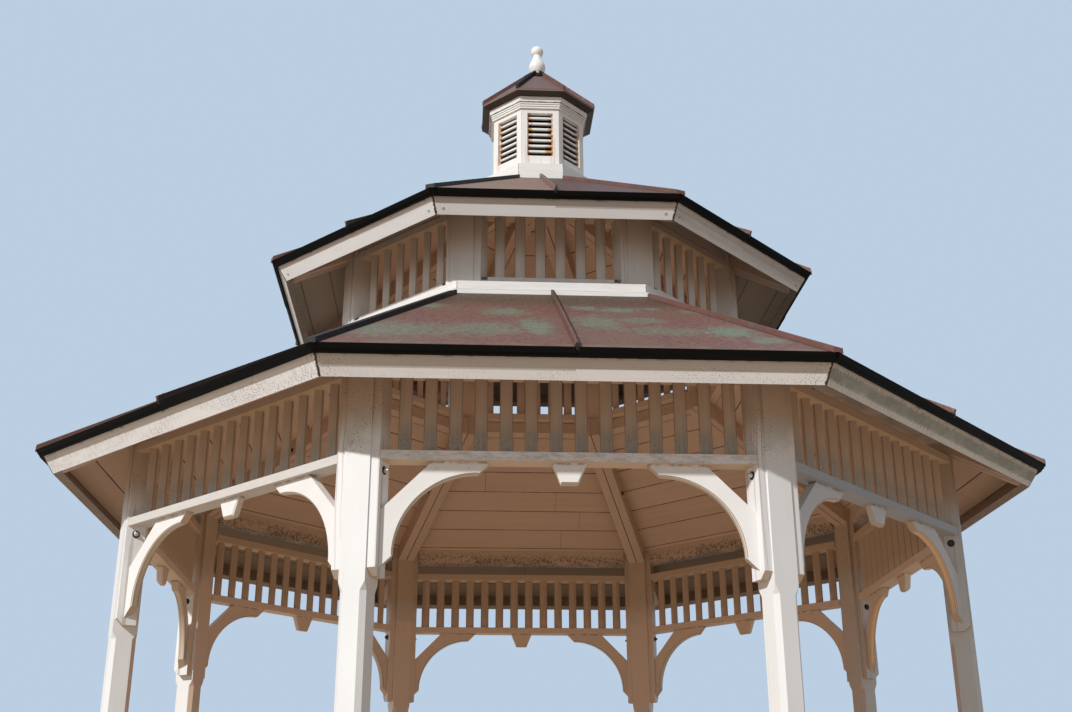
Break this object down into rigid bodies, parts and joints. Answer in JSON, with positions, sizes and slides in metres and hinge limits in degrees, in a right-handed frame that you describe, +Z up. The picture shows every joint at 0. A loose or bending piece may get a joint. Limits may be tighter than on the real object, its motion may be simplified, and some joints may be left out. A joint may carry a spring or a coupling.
{
  "type": "wooden gazebo",
  "caption": "Eight-sided open wooden gazebo with knee brackets and baluster friezes between square posts, a two-tier copper roof and a louvred cupola with a turned finial",
  "frame": {"origin": "middle of the plan at ground level, under the finial", "axes": "+Z up, -Y out of the front bay, +X to the right seen from the front"},
  "size_m": [4.9516, 4.9516, 5.8181],
  "materials": {
    "post_paint": "white paint, weathered",
    "trim_paint": "white paint, weathered",
    "fascia_paint": "white paint, streaked",
    "rafter_wood": "stained timber",
    "ceiling_wood": "stained boards",
    "copper_sheet": "copper sheet, dull brown with green patina",
    "drip_metal": "dark folded sheet",
    "cap_metal": "black sheet"
  },
  "bodies": {
    "root": {"centre_pendants": "trim_paint", "cupola_cap": "cap_metal", "cupola_cornice": "trim_paint", "cupola_louvres": "trim_paint", "cupola_roof": "copper_sheet", "cupola_skirt": "trim_paint", "cupola_walls": "trim_paint", "finial": "trim_paint", "frieze_back": "trim_paint", "frieze_back_left": "trim_paint", "frieze_back_right": "trim_paint", "frieze_front": "trim_paint", "frieze_front_left": "trim_paint", "frieze_front_right": "trim_paint", "frieze_left": "trim_paint", "frieze_right": "trim_paint", "knee_brackets": "trim_paint", "lantern_curb": "trim_paint", "lantern_friezes": "trim_paint", "lantern_headers": "trim_paint", "lantern_post_strips": "post_paint", "lantern_posts": "post_paint", "lantern_sill": "trim_paint", "lower_copper": "copper_sheet", "lower_drip_edge": "drip_metal", "lower_fascia": "fascia_paint", "lower_hip_caps": "copper_sheet", "lower_hip_rafters": "rafter_wood", "lower_roof_deck": "ceiling_wood", "post_back_left": "post_paint", "post_back_right": "post_paint", "post_front_left": "post_paint", "post_front_right": "post_paint", "post_left_back": "post_paint", "post_left_front": "post_paint", "post_right_back": "post_paint", "post_right_front": "post_paint", "post_side_strips": "post_paint", "rafter_hub": "rafter_wood", "upper_copper": "copper_sheet", "upper_drip_edge": "drip_metal", "upper_fascia": "fascia_paint", "upper_hip_caps": "copper_sheet", "upper_hip_rafters": "rafter_wood", "upper_roof_deck": "ceiling_wood", "wall_headers": "trim_paint"}
  },
  "joints": []
}
